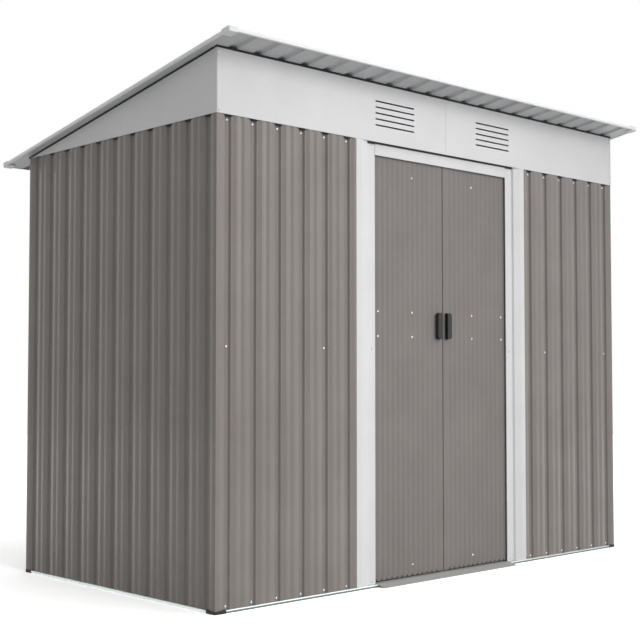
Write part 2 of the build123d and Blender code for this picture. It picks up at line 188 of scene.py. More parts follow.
# Black feet and pulls take a soft sheen, and rubber and foam stay flat and dark. The foam's black is also
# painted shade in the gap under the roof and in the grooves' mouths.
black_plastic = moulded("black moulded plastic", "#151414", "#1B1A1A", 0.68, 0.8)
black_rubber = moulded("dark extruded rubber", "#2A2827", "#302E2D", 0.80, 1.0)
foam_and_shade_black = moulded("black foam, seal and painted shade", "#0E0E0E", "#151515", 0.85, 1.5)
# The roof's corner caps pass for its edging, and the gliders are a milky off-white.
cap_plastic = moulded("pale grey moulded plastic", "#E2E3E4", "#E8E9EA", 0.48, 0.9)
nylon = moulded("natural moulded nylon", "#DAD8D0", "#E4E2DA", 0.45, 1.0)


# Sheet metal folded along a line of bends

LEAST_TURN = 0.01
ARC_STEP = math.radians(9)
BEND_SHARE = 0.45
SHEET_CREASE = 32


def rounded(points, radius):
    """Line of points with each bend turned into an arc."""
    line = [Vector(points[0])]
    for before, corner, after in zip(points, points[1:], points[2:]):
        before, corner, after = Vector(before), Vector(corner), Vector(after)
        back = (before - corner).normalized()
        on = (after - corner).normalized()
        turn = math.pi - back.angle(on)
        if turn < LEAST_TURN:
            line.append(corner)
            continue
        reach = min(radius * math.tan(turn / 2), BEND_SHARE * (before - corner).length,
                    BEND_SHARE * (after - corner).length)
        steps = max(2, round(turn / ARC_STEP))
        start, end = corner + back * reach, corner + on * reach
        for step in range(steps + 1):
            t = step / steps
            line.append(start * (1 - t) ** 2 + corner * 2 * t * (1 - t) + end * t ** 2)
    line.append(Vector(points[-1]))
    return line


def thickened(line, gauge):
    """Second line, one sheet thickness to the left of the first."""
    runs = [(b - a).normalized() for a, b in zip(line, line[1:])]
    second = []
    for i, point in enumerate(line):
        before, after = runs[max(i - 1, 0)], runs[min(i, len(runs) - 1)]
        left = Vector((-before.y - after.y, before.x + after.x))
        second.append(point + left * (gauge / (1 + before.dot(after))))
    return second


def make_piece(name, points, faces, body, finish, crease=SHEET_CREASE):
    """Closed piece that rides a body; edges that turn more than the crease, in degrees, stay sharp."""
    mesh = bpy.data.meshes.new(name)
    mesh.from_pydata([[c * MM for c in p] for p in points], [], faces)
    mesh.update()
    shell = bmesh.new()
    shell.from_mesh(mesh)
    bmesh.ops.recalc_face_normals(shell, faces=shell.faces)
    shell.to_mesh(mesh)
    shell.free()
    mesh.polygons.foreach_set("use_smooth", [True] * len(mesh.polygons))
    mesh.set_sharp_from_angle(angle=math.radians(crease))
    piece = bpy.data.objects.new(name, mesh)
    bpy.context.scene.collection.objects.link(piece)
    mesh.materials.append(finish)
    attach(piece, body)
    return piece


def folded_sheet(name, fold, gauge, bend, ends, body, finish):
    """Sheet folded along a line; ends(point) gives its two end places in the shed's frame."""
    outer = rounded(fold, bend)
    inner = thickened(outer, gauge)
    points, faces = [], []
    for a, b in zip(outer, inner):
        a_low, a_high = ends(a)
        b_low, b_high = ends(b)
        points += [a_low, a_high, b_low, b_high]
    for i in range(len(outer) - 1):
        k, n = 4 * i, 4 * (i + 1)
        faces += [(k, n, n + 1, k + 1), (k + 2, k + 3, n + 3, n + 2),
                  (k, k + 2, n + 2, n), (k + 1, n + 1, n + 3, k + 3)]
    last = 4 * (len(outer) - 1)
    faces += [(0, 1, 3, 2), (last, last + 2, last + 3, last + 1)]
    sheet = make_piece(name, points, faces, body, finish)
    flats = sheet.modifiers.new("flat between bends", "WEIGHTED_NORMAL")
    flats.keep_sharp = True
    return sheet


# Walls

LEAST_PITCH = 97.0
CORNER_PAN = 46.0
CASING_PAN = 54.5
WALL_BEND = 4.0
BEAD_HALF = 12.0
BEAD_DEPTH = 2.0
GROOVE_DEPTH = 10.5
GROOVE_MIDDLE_DEPTH = GROOVE_DEPTH - 1.2
LEDGE_DEPTH = 3.2
SIDE_SET_IN = 1.0

# Line of one groove, as reach from its middle and depth: a shoulder, a crowned floor and a narrow ledge.
GROOVE_FOLD = [(-30.5, 0), (-12.5, 4), (-7.5, GROOVE_DEPTH), (0, GROOVE_MIDDLE_DEPTH),
               (7.5, GROOVE_DEPTH), (12, LEDGE_DEPTH), (16, LEDGE_DEPTH), (30.5, 0)]


def under_roof(y):
    return FASCIA_FOOT + FASCIA_HEIGHT - (y - FRONT_Y) * SLOPE_RISE


def groove_places(width, first_pan, last_pan):
    """Middles of the grooves, spread evenly between the first and the last."""
    pans = math.floor((width - first_pan - last_pan) / LEAST_PITCH)
    return [first_pan + k * (width - first_pan - last_pan) / pans for k in range(pans + 1)]


def wall_fold(width, grooves):
    """Pans with a shallow middle bead between deep grooves."""
    fold = [(0, 0)]
    for k, groove in enumerate(grooves):
        if k:
            bead = (grooves[k - 1] + groove) / 2
            fold += [(bead - BEAD_HALF, 0), (bead, BEAD_DEPTH), (bead + BEAD_HALF, 0)]
        fold += [(groove + reach, depth) for reach, depth in GROOVE_FOLD]
    fold.append((width, 0))
    return fold


def wall_panel(name, node, corner, along, inward, width, grooves, top):
    """Ribbed sheet from one corner along a wall, cut to the roof's slope where that is lower than its top."""
    corner, along, inward = Vector(corner), Vector(along), Vector(inward)
    sloped = along.y != 0

    def ends(point):
        place = corner + along * point.x + inward * point.y
        high = min(top, under_roof(place.y)) if sloped else top
        return (place.x, place.y, WALL_FOOT), (place.x, place.y, high)

    panel = folded_sheet(name, wall_fold(width, grooves), SHEET_GAUGE, WALL_BEND, ends, "shed", taupe_coat)
    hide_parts(node)


FRONT_PANEL = 597.5
SIDE_PANEL = REAR_Y - FRONT_Y - 2 * SIDE_SET_IN
REAR_PANEL = 2 * HALF_WIDTH / 3
FRONT_GROOVES = groove_places(FRONT_PANEL, CORNER_PAN, CASING_PAN)
RIGHT_GROOVES = [FRONT_PANEL - along for along in reversed(FRONT_GROOVES)]
SIDE_GROOVES = groove_places(SIDE_PANEL, CORNER_PAN - SIDE_SET_IN, CORNER_PAN - SIDE_SET_IN)
REAR_GROOVES = groove_places(REAR_PANEL, CORNER_PAN, CORNER_PAN)

wall_panel("front_left_panel", "front_left_wall", (-HALF_WIDTH, FRONT_Y), TO_RIGHT, TO_REAR,
           FRONT_PANEL, FRONT_GROOVES, WALL_TOP)
wall_panel("front_right_panel", "front_right_wall", (HALF_WIDTH - FRONT_PANEL, FRONT_Y), TO_RIGHT, TO_REAR,
           FRONT_PANEL, RIGHT_GROOVES, WALL_TOP)
wall_panel("left_panel", "left_wall", (-HALF_WIDTH, REAR_Y - SIDE_SET_IN), TO_FRONT, TO_RIGHT,
           SIDE_PANEL, SIDE_GROOVES, WALL_TOP)
wall_panel("right_panel", "right_wall", (HALF_WIDTH, FRONT_Y + SIDE_SET_IN), TO_REAR, TO_LEFT,
           SIDE_PANEL, SIDE_GROOVES, WALL_TOP)
for place, side in enumerate(("right", "middle", "left")):
    wall_panel(f"rear_{side}_panel", f"rear_wall_{side}", (HALF_WIDTH - place * REAR_PANEL, REAR_Y),
               TO_LEFT, TO_FRONT, REAR_PANEL, REAR_GROOVES, REAR_WALL_TOP)


# Roof

ROOF_PROFILE = 9.0
ROOF_BEND = 3.0
ROOF_RUN = ROOF_DEPTH / math.cos(SLOPE)
ROOF_EDGE_HEIGHT = (FASCIA_FOOT + FASCIA_HEIGHT + ROOF_GAP + ROOF_FRONT_OVERHANG * SLOPE_RISE
                    + ROOF_PROFILE / 2 / math.cos(SLOPE))
RIB_PITCH = 96.8
RIB_HEIGHT = 9.0
RIB_FOOT_HALF = 18.0
RIB_HEAD_HALF = 13.0
PANEL_RIBS = 7
SHEET_HALF = ROOF_HALF_LENGTH - 1.2
SHEET_END = 1.6
PAN_UP = -ROOF_PROFILE / 2
RIB_UP = PAN_UP + RIB_HEIGHT


def roof_place(x, down, up):
    """Place on the roof: across, down the slope from the front edge, and off its middle surface."""
    return (x, -ROOF_DEPTH / 2 + down * math.cos(SLOPE) + up * math.sin(SLOPE),
            ROOF_EDGE_HEIGHT - down * math.sin(SLOPE) + up * math.cos(SLOPE))


def roof_sheet(name, node, place):
    """Ribbed sheet, the first and the last reaching out to the roof's ends."""
    span = RIB_PITCH * PANEL_RIBS
    middle = (place - 1) * span
    start = -SHEET_HALF if place == 0 else middle - span / 2
    end = SHEET_HALF if place == 2 else middle + span / 2
    fold = [(start, PAN_UP)]
    for rib in range(PANEL_RIBS):
        c = middle - span / 2 + (rib + 0.5) * RIB_PITCH
        fold += [(c - RIB_FOOT_HALF, PAN_UP), (c - RIB_HEAD_HALF, RIB_UP),
                 (c + RIB_HEAD_HALF, RIB_UP), (c + RIB_FOOT_HALF, PAN_UP)]
    fold.append((end, PAN_UP))

    def ends(point):
        return roof_place(point.x, SHEET_END, point.y), roof_place(point.x, ROOF_RUN - SHEET_END, point.y)

    sheet = folded_sheet(name, fold, SHEET_GAUGE, ROOF_BEND, ends, "shed", roof_coat)
    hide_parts(node)


for place, side in enumerate(("left", "middle", "right")):
    roof_sheet(f"roof_{side}_sheet", f"roof_panel_{side}", place)

TRIM_LEG = 19.2
TRIM_LIP = 6.2
TRIM_HALF = 6.0
TRIM_GAUGE = 1.2
TRIM_BEND = 4.5
CAP_LEG = 34.0
TRIM_FOLD = [(TRIM_LEG, TRIM_HALF), (0, TRIM_HALF), (0, -TRIM_HALF), (TRIM_LIP, -TRIM_HALF)]
TRIM_REACH = ROOF_HALF_LENGTH - CAP_LEG
TRIM_REAR = ROOF_RUN - CAP_LEG


# The edging's whiter coat is a painted highlight, since it is the fascia's white paint.
def roof_trim(edge, ends):
    """White channel with a rounded nose, pushed over one edge of the roof sheets."""
    trim = folded_sheet(f"roof_{edge}_edging", TRIM_FOLD, TRIM_GAUGE, TRIM_BEND, ends, "shed", lit_trim_coat)
    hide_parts(f"roof_{edge}_trim")


roof_trim("front", lambda p: (roof_place(-TRIM_REACH, p.x, p.y), roof_place(TRIM_REACH, p.x, p.y)))
roof_trim("rear", lambda p: (roof_place(-TRIM_REACH, ROOF_RUN - p.x, p.y),
                             roof_place(TRIM_REACH, ROOF_RUN - p.x, p.y)))
roof_trim("left", lambda p: (roof_place(p.x - ROOF_HALF_LENGTH, CAP_LEG, p.y),
                             roof_place(p.x - ROOF_HALF_LENGTH, TRIM_REAR, p.y)))
roof_trim("right", lambda p: (roof_place(ROOF_HALF_LENGTH - p.x, CAP_LEG, p.y),
                              roof_place(ROOF_HALF_LENGTH - p.x, TRIM_REAR, p.y)))


# Black foam at the sheets' ends: seal strips under the roof that also paint its shadow gap, and blocks in the
# grooves' mouths that are painted shade

BLOCK_SIDES = [(0, 1, 2, 3), (7, 6, 5, 4), (0, 4, 5, 1), (1, 5, 6, 2), (2, 6, 7, 3), (3, 7, 4, 0)]
# The seal strips stand out past the fascia and gable faces, so their black also paints the shadow gap under
# the roof.
SEAL_PROUD = 2.5
SEAL_WIDTH = 8.0
SEAL_TUCK = 1.5
SEAL_STOP = 12.0
SEAL_X = HALF_WIDTH + SEAL_PROUD


def shade_foam_piece(name, blocks):
    """Blocks of black foam in one piece, filling dark gaps as painted shade; each has eight corners, four at
    each end.
    """
    points, faces = [], []
    for block in blocks:
        first = len(points)
        points += block
        faces += [tuple(first + corner for corner in side) for side in BLOCK_SIDES]
    foam = make_piece(name, points, faces, "shed", foam_and_shade_black)


def seal_end(x_out, x_in, y_out, y_in):
    """Four corners of a strip's end, from the top of the wall to the roof sheet's underside."""
    ring = ((x_out, y_out, -SEAL_TUCK), (x_in, y_in, -SEAL_TUCK),
            (x_in, y_in, ROOF_GAP), (x_out, y_out, ROOF_GAP))
    return [(x, y, under_roof(y) + up) for x, y, up in ring]


seal_shade_strips = []
for side, sign in SIDES:
    x_out, x_in = sign * SEAL_X, sign * (SEAL_X - SEAL_WIDTH)
    seal_shade_strips.append(seal_end(x_out, x_in, FRONT_Y + SEAL_STOP, FRONT_Y + SEAL_STOP)
                 + seal_end(x_out, x_in, REAR_Y - SEAL_STOP, REAR_Y - SEAL_STOP))
for wall_y, outward in ((FRONT_Y, -1), (REAR_Y, 1)):
    y_out = wall_y + outward * SEAL_PROUD
    y_in = y_out - outward * SEAL_WIDTH
    seal_shade_strips.append(seal_end(-SEAL_X, -SEAL_X, y_out, y_in) + seal_end(SEAL_X, SEAL_X, y_out, y_in))
shade_foam_piece("roof_seal_shade_strips", seal_shade_strips)

# The blocks in the grooves' mouths are painted shade for the dark hollows under the fascia and gables.
SHADE_BLOCK_DEPTH = GROOVE_DEPTH - 0.6
SHADE_BLOCK_FOLD = [(-14, 2.6), (-8, SHADE_BLOCK_DEPTH), (8, SHADE_BLOCK_DEPTH), (14, 2.6)]
SHADE_BLOCK_FOOT = FASCIA_FOOT - 4.5
SHADE_BLOCK_HEAD = FASCIA_FOOT + 4.0


def groove_shade_block(corner, along, inward, groove):
    """Black block in one groove's mouth under the fascia or a gable, painted shade for the groove's dark
    hollow.
    """
    corner, along, inward = Vector(corner), Vector(along), Vector(inward)
    block = []
    for height in (SHADE_BLOCK_FOOT, SHADE_BLOCK_HEAD):
        for reach, depth in SHADE_BLOCK_FOLD:
            place = corner + along * (groove + reach) + inward * depth
            block.append((place.x, place.y, height))
    return block


shade_blocks = []
for groove in FRONT_GROOVES:
    shade_blocks.append(groove_shade_block((-HALF_WIDTH, FRONT_Y), TO_RIGHT, TO_REAR, groove))
    shade_blocks.append(groove_shade_block((HALF_WIDTH, FRONT_Y), TO_LEFT, TO_REAR, groove))
for groove in SIDE_GROOVES[1:]:
    shade_blocks.append(groove_shade_block((-HALF_WIDTH, REAR_Y - SIDE_SET_IN), TO_FRONT, TO_RIGHT, groove))
    shade_blocks.append(groove_shade_block((HALF_WIDTH, REAR_Y - SIDE_SET_IN), TO_FRONT, TO_LEFT, groove))
shade_foam_piece("groove_shade_blocks", shade_blocks)


# Rolled edges of the fascia and gables

FASCIA_FACE = FRONT_Y - 1.0
GABLE_FACE = HALF_WIDTH + 1.0
FASCIA_JOINT = 2.0
GABLE_HEM_STOP = 12.0
HEM = 2.0
HEM_FLATTENED = 0.5
HEM_HEIGHT = FASCIA_FOOT + HEM
CORNER_ROLL = 3.4
CORNER_X = GABLE_FACE - 3.0
CORNER_Y = FASCIA_FACE + 2.0
ROLL_STEPS = 8


def rolled_bar(name, start, end, from_side, to_side, radius):
    """Quarter round white edge swept along a line, from one side round to the other."""
    start, end = Vector(start), Vector(end)
    from_side, to_side = Vector(from_side), Vector(to_side)
    points, faces = [], []
    for step in range(ROLL_STEPS + 1):
        turn = math.pi / 2 * step / ROLL_STEPS
        reach = (from_side * math.cos(turn) + to_side * math.sin(turn)) * radius
        points += [start + reach, end + reach]
    points += [start, end]
    core = 2 * (ROLL_STEPS + 1)
    for step in range(ROLL_STEPS):
        k = 2 * step
        faces += [(k, k + 2, k + 3, k + 1), (k, core, k + 2), (k + 1, k + 3, core + 1)]
    faces += [(0, 1, core + 1, core), (core - 2, core, core + 1, core - 1)]
    bar = make_piece(name, points, faces, "shed", white_coat)


for side, sign in SIDES:
    rolled_bar(f"{side}_fascia_hem", (sign * FASCIA_JOINT, FASCIA_FACE, HEM_HEIGHT),
               (sign * GABLE_FACE, FASCIA_FACE, HEM_HEIGHT), (0, -HEM_FLATTENED, 0), (0, 0, -1), HEM)
    rolled_bar(f"{side}_gable_hem", (sign * GABLE_FACE, FRONT_Y, HEM_HEIGHT),
               (sign * GABLE_FACE, REAR_Y - GABLE_HEM_STOP, HEM_HEIGHT),
               (sign * HEM_FLATTENED, 0, 0), (0, 0, -1), HEM)
    rolled_bar(f"{side}_fascia_corner", (sign * CORNER_X, CORNER_Y, FASCIA_FOOT),
               (sign * CORNER_X, CORNER_Y, FASCIA_FOOT + FASCIA_HEIGHT),
               (0, -1, 0), (sign, 0, 0), CORNER_ROLL)


# Finishes on the CAD pieces that are shown as they are, with the width of their eased edges in millimetres

EASED_FROM = math.radians(40)
SHOWN_AS_BUILT = [
    (("front_fascia_left", "front_fascia_right", "left_gable", "right_gable"), white_coat, 0.3),
    (("front_floor_rail", "rear_floor_rail", "left_floor_rail", "right_floor_rail"), zinc_strip, 0.3),
    (("front_top_rail", "rear_top_rail", "left_top_rail", "right_top_rail", "roof_beam"), zinc_strip, 0.3),
    (("left_wall_brace", "right_wall_brace", "rear_wall_brace", "front_wall_braces"), zinc_strip, 0.3),
    (("door_sill",), sill_coat, 0.4),
    # The track's dark coat is painted shade in the gap under the lintel.
    (("door_track",), shaded_track_coat, 0.3),
    (("corner_feet",), black_plastic, 1.5),
    (("roof_corner_caps",), cap_plastic, 2.0),
    (("left_door_rails", "right_door_rails"), zinc_strip, 1.5),
    (("left_door_gliders", "right_door_gliders"), nylon, 1.0),
    (("left_door_handle", "right_door_handle"), black_plastic, 1.2),
]


def finish_node(node, finish, edge_mm):
    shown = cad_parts[node]
    shown.data.materials.clear()
    shown.data.materials.append(finish)
    rounding = shown.modifiers.new("eased edges", "BEVEL")
    rounding.width = edge_mm * MM
    rounding.segments = 3
    rounding.limit_method = "ANGLE"
    rounding.angle_limit = EASED_FROM
    rounding.harden_normals = False


for nodes, finish, edge_mm in SHOWN_AS_BUILT:
    for node in nodes:
        finish_node(node, finish, edge_mm)


# Rounded nosing along the floor rails; its lines are reach inward from the wall's face, and height

# The nosing's lighter zinc is a painted highlight; the dark tuck zinc at the front and rear is painted shade.
RAIL_NOSE = [(0.4, 10.0), (-2.6, 9.4), (-3.4, 8.0), (-3.2, 6.4)]
RAIL_TUCK = [(-2.4, 6.2), (-2.0, 3.0), (-0.6, 0.4)]
NOSE_BEND = 2.5
TUCK_BEND = 1.0
FOOT_LEG = 40.0


def rail_nosing(name, start, end, outward, tuck_finish):
    """Galvanised half-round strip on a floor rail's face, between two plan points."""
    start, end, outward = Vector(start), Vector(end), Vector(outward)

    def ends(point):
        low, high = start - outward * point.x, end - outward * point.x
        return (low.x, low.y, point.y), (high.x, high.y, point.y)

    nosing = folded_sheet(name, RAIL_NOSE, SHEET_GAUGE, NOSE_BEND, ends, "shed", lit_rail_zinc)
    tuck = folded_sheet(name + "_tuck", RAIL_TUCK, SHEET_GAUGE, TUCK_BEND, ends, "shed", tuck_finish)


sill_low, sill_high = (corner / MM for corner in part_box("door_sill"))
rail_x = HALF_WIDTH - FOOT_LEG
rail_front, rail_rear = FRONT_Y + FOOT_LEG, REAR_Y - FOOT_LEG
# The front and rear tucks take the darkened zinc, as painted shade under the nosing.
rail_nosing("front_left_nosing", (-rail_x, FRONT_Y), (sill_low.x, FRONT_Y), TO_FRONT, shaded_tuck_zinc)
rail_nosing("front_right_nosing", (sill_high.x, FRONT_Y), (rail_x, FRONT_Y), TO_FRONT, shaded_tuck_zinc)
rail_nosing("rear_nosing", (-rail_x, REAR_Y), (rail_x, REAR_Y), TO_REAR, shaded_tuck_zinc)
rail_nosing("left_nosing", (-HALF_WIDTH, rail_front), (-HALF_WIDTH, rail_rear), TO_LEFT, lit_rail_zinc)
rail_nosing("right_nosing", (HALF_WIDTH, rail_front), (HALF_WIDTH, rail_rear), TO_RIGHT, lit_rail_zinc)


# Stepped casing beside the doorway, and the lintel over it

casing_low, casing_high = (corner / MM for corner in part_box("right_door_jamb"))
DOORWAY_HALF, CASING_OUTER = casing_low.x, casing_high.x
LINTEL_FOOT, LINTEL_TOP = (corner.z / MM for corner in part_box("door_lintel"))
CASING_REVEAL = 39.0
CASING_FACE = 39.0
REVEAL_DEPTH, FACE_DEPTH, LAP_DEPTH = 10.3, 4.3, -1.2
CASING_RETURN = 13.0
CASING_GAUGE = 1.2
CASING_BEND = 2.5
CASING_SLANT = 2.5
LINTEL_BEND = 1.5
LINTEL_SHADOW_LINE = 4.5
LINTEL_JOINT = 0.9


def door_casing(side, sign):
    """White strip from the doorway's edge: a set-back reveal, a face, then a flat lap on the wall panel."""
    first_step = DOORWAY_HALF + CASING_REVEAL
    second_step = first_step + CASING_FACE
    fold = [(DOORWAY_HALF, CASING_RETURN), (DOORWAY_HALF, REVEAL_DEPTH),
            (first_step - CASING_SLANT, REVEAL_DEPTH), (first_step + CASING_SLANT, FACE_DEPTH),
            (second_step - CASING_SLANT, LAP_DEPTH), (CASING_OUTER, LAP_DEPTH)]
    fold = [(sign * x, depth) for x, depth in fold][::sign]

    def ends(point):
        reach = abs(point.x)
        if reach < first_step:
            high = LINTEL_TOP if point.y < REVEAL_DEPTH + CASING_GAUGE else LINTEL_FOOT
        else:
            high = casing_high.z if reach < second_step else FASCIA_FOOT
        return (point.x, FRONT_Y + point.y, WALL_FOOT), (point.x, FRONT_Y + point.y, high)

    casing = folded_sheet(f"{side}_casing", fold, CASING_GAUGE, CASING_BEND, ends, "shed", white_coat)
    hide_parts(f"{side}_door_jamb")


def lintel_ends(point):
    reach = DOORWAY_HALF - LINTEL_JOINT
    return (-reach, FRONT_Y + point.x, point.y), (reach, FRONT_Y + point.x, point.y)


for side, sign in SIDES:
    door_casing(side, sign)
lintel_fold = [(REVEAL_DEPTH, FASCIA_FOOT - LINTEL_SHADOW_LINE), (REVEAL_DEPTH, LINTEL_FOOT),
               (CASING_RETURN, LINTEL_FOOT)]
lintel = folded_sheet("doorway_lintel", lintel_fold, CASING_GAUGE, LINTEL_BEND, lintel_ends,
                      "shed", white_coat)
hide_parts("door_lintel")


# Door leaves, with the rubber sweeps at their feet and the strip behind their meeting line

leaf_low, leaf_high = (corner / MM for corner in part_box("right_door_leaf"))
DOOR_FACE = leaf_low.y
DOOR_SETBACK = DOOR_FACE - FRONT_Y
LEAF_START, LEAF_END = leaf_low.x, leaf_high.x
LEAF_FOOT, LEAF_TOP = leaf_low.z, leaf_high.z
LEAF_BEND = 2.0
EDGE_RETURN = 16.0
EDGE_FLAT = 14.0
EDGE_TURNS_AT = 4.0
RETURN_RAISED = 10.0
RIPPLE_MARGIN = 20.0
RIPPLE_PITCH = 25.5
RIPPLE_DEPTH = 1.4
RIPPLE_STEPS = 10
STRIP_BEND = 1.0
SWEEP_BEHIND = 1.2
SWEEP_LAP = 6.0
SWEEP_GAUGE = 1.6
SWEEP_FOOT = WALL_FOOT + 2.5
SWEEP_START, SWEEP_END = LEAF_START + 0.3, LEAF_END - 2.0
MEETING_BEHIND = 2.0
MEETING_LAP = 8.0
MEETING_REACH = 1.0
MEETING_TOP = LEAF_TOP - 8.0


def door_leaf(side, sign):
    """Thin sheet rolled with a gentle upright ripple, its two edges turned back."""
    back = DOOR_SETBACK + EDGE_RETURN
    fold = [(LEAF_START, back), (LEAF_START, DOOR_SETBACK), (LEAF_START + EDGE_FLAT, DOOR_SETBACK)]
    rippled = LEAF_END - LEAF_START - 2 * RIPPLE_MARGIN
    ripples = round(rippled / RIPPLE_PITCH)
    pitch = rippled / ripples
    for step in range(ripples * RIPPLE_STEPS + 1):
        depth = RIPPLE_DEPTH * (1 - math.cos(2 * math.pi * step / RIPPLE_STEPS)) / 2
        fold.append((LEAF_START + RIPPLE_MARGIN + step * pitch / RIPPLE_STEPS, DOOR_SETBACK + depth))
    fold += [(LEAF_END - EDGE_FLAT, DOOR_SETBACK), (LEAF_END, DOOR_SETBACK), (LEAF_END, back)]
    fold = [(sign * x, depth) for x, depth in fold][::sign]

    def ends(point):
        foot = LEAF_FOOT if point.y < DOOR_SETBACK + EDGE_TURNS_AT else LEAF_FOOT + RETURN_RAISED
        return (point.x, FRONT_Y + point.y, foot), (point.x, FRONT_Y + point.y, LEAF_TOP)

    leaf = folded_sheet(f"{side}_door_sheet", fold, SHEET_GAUGE, LEAF_BEND, ends, f"{side}_door", door_coat)
    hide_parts(f"{side}_door_leaf")


def door_sweep(side, sign):
    """Dark rubber strip along a leaf's foot, just clear of the sill."""
    sweep_y = DOOR_FACE + SWEEP_BEHIND
    strip = [(sweep_y, LEAF_FOOT + SWEEP_LAP), (sweep_y, SWEEP_FOOT)]

    def ends(point):
        return (sign * SWEEP_START, point.x, point.y), (sign * SWEEP_END, point.x, point.y)

    sweep = folded_sheet(f"{side}_door_sweep", strip, SWEEP_GAUGE, STRIP_BEND, ends,
                         f"{side}_door", black_rubber)


def meeting_ends(point):
    return (point.x, point.y, SWEEP_FOOT), (point.x, point.y, MEETING_TOP)


for side, sign in SIDES:
    door_leaf(side, sign)
for side, sign in SIDES:
    door_sweep(side, sign)
meeting_y = DOOR_FACE + MEETING_BEHIND
meeting_strip = folded_sheet("left_door_meeting_strip",
                             [(-LEAF_START - MEETING_LAP, meeting_y), (MEETING_REACH, meeting_y)],
                             SHEET_GAUGE, STRIP_BEND, meeting_ends, "left_door", door_coat)


# Screws; a head's rings are radius and height

HEAD_RINGS = [(3.7, 0.0), (3.7, 0.6), (2.9, 0.9), (2.5, 1.6), (1.7, 2.2), (0.7, 2.4)]
HEAD_TURNS = 14
HEAD_CREASE = 50


def screw_heads(name, body, places, outward, finish):
    """Low round heads with a flange, all in one piece and facing one way."""
    points, faces = [], []
    out = Vector((*outward, 0))
    side = out.orthogonal().normalized()
    up = out.cross(side)
    for place in places:
        first = len(points)
        for radius, height in HEAD_RINGS:
            for step in range(HEAD_TURNS):
                turn = 2 * math.pi * step / HEAD_TURNS
                reach = side * (radius * math.cos(turn)) + up * (radius * math.sin(turn))
                points.append(Vector(place) + reach + out * height)
        for ring in range(len(HEAD_RINGS) - 1):
            for step in range(HEAD_TURNS):
                a = first + ring * HEAD_TURNS + step
                b = first + ring * HEAD_TURNS + (step + 1) % HEAD_TURNS
                faces.append((a, b, b + HEAD_TURNS, a + HEAD_TURNS))
        faces.append(tuple(first + step for step in reversed(range(HEAD_TURNS))))
        top = first + (len(HEAD_RINGS) - 1) * HEAD_TURNS
        faces.append(tuple(top + step for step in range(HEAD_TURNS)))
    heads = make_piece(name, points, faces, body, finish, HEAD_CREASE)


RAIL_SCREWS = [18.5, 1456]
BRACE_SCREWS = [781]
FRONT_BRACED = (0, 4)
REAR_BRACED = (0, 3, 6)
# Distance from the middle, face and heights of the screws in the casing and at the fascia's ends.
CASING_SCREWS = [
    (364, FRONT_Y + REVEAL_DEPTH, (19, 781, 1458)),
    (405, FRONT_Y + FACE_DEPTH, (17, 781, 1462)),
    (1020, FASCIA_FACE, (1656, 1477)),
]
# Distance from the middle and heights of the screws in a door leaf.
DOOR_SCREWS = [(159, (53, 825, 908, 1372)), (327, (825, 908))]

wall_screws, casing_screws, rear_screws = [], [], []
for side, sign in SIDES:
    for k, along in enumerate(FRONT_GROOVES):
        heights = RAIL_SCREWS + (BRACE_SCREWS if k in FRONT_BRACED else [])
        wall_screws += [(sign * (HALF_WIDTH - along), FRONT_Y + GROOVE_MIDDLE_DEPTH, z) for z in heights]
    for x, face, heights in CASING_SCREWS:
        casing_screws += [(sign * x, face, z) for z in heights]
for panel in range(3):
    for k, along in enumerate(REAR_GROOVES):
        heights = RAIL_SCREWS + (BRACE_SCREWS if k in REAR_BRACED else [])
        x = -HALF_WIDTH + panel * REAR_PANEL + along
        rear_screws += [(x, REAR_Y - GROOVE_MIDDLE_DEPTH, z) for z in heights]
screw_heads("front_wall_screws", "shed", wall_screws, TO_FRONT, zinc_screw)
screw_heads("casing_screws", "shed", casing_screws, TO_FRONT, dull_screw)
screw_heads("rear_wall_screws", "shed", rear_screws, TO_REAR, zinc_screw)
for side, sign in SIDES:
    door_screws = [(sign * x, DOOR_FACE, z) for x, heights in DOOR_SCREWS for z in heights]
    screw_heads(f"{side}_door_screws", f"{side}_door", door_screws, TO_FRONT, zinc_screw)


# Studio, in metres

FLOOR_REACH = 10.0
FLOOR_TURNS = 96
FLOOR_GAIN = 1.7
PAPER_CLOUD_MM = 900
KEY_PLACE = (1.42, -2.63, 1.85)
KEY_TARGET = (-0.74, -0.55, 0.72)
KEY_WIDTH, KEY_HEIGHT = 1.6, 2.8
KEY_SPREAD = 66
KEY_WATTS = 6.0
CAMERA_PLACE = (-3.2614, -3.3590, 0.6997)
CAMERA_PITCH, CAMERA_HEADING = 92.511, -43.338
CAMERA_LENS, CAMERA_SENSOR = 68.816, 36.0

# The dome's even level, and its patches: azimuth from the shed's front to its right, elevation, upright
# stretch, inner and outer half angle, and strength, which is negative where the dome is darker.
DOME_LEVEL = 0.40
DOME_PATCHES = [
    (66, 12, 4.0, 4, 7, 2.4),
    (82, 4, 2.5, 1.5, 4, 1.3),
    (-130, 12, 2.0, 4, 8, 2.2),
    (24, 4, 3.0, 13, 18, 1.15),
    (-2, 27, 1.5, 5, 14, 4.4),
    (-38, 4, 1.5, 15, 45, -0.28),
    (-152, 4, 1.5, 8, 26, -0.30),
    (0, 75, 1.0, 20, 60, 0.7),
]


def shows_white(tree):
    """One for the rays that see the white background: from the camera, mirrored or let through."""
    rays = add_node(tree, "ShaderNodeLightPath").outputs
    bent = add_node(tree, "ShaderNodeMath",
                    {0: rays["Is Glossy Ray"], 1: rays["Is Transmission Ray"]}, operation="MAXIMUM")
    seen = add_node(tree, "ShaderNodeMath",
                    {0: rays["Is Camera Ray"], 1: bent.outputs[0]}, operation="MAXIMUM")
    return seen.outputs[0]


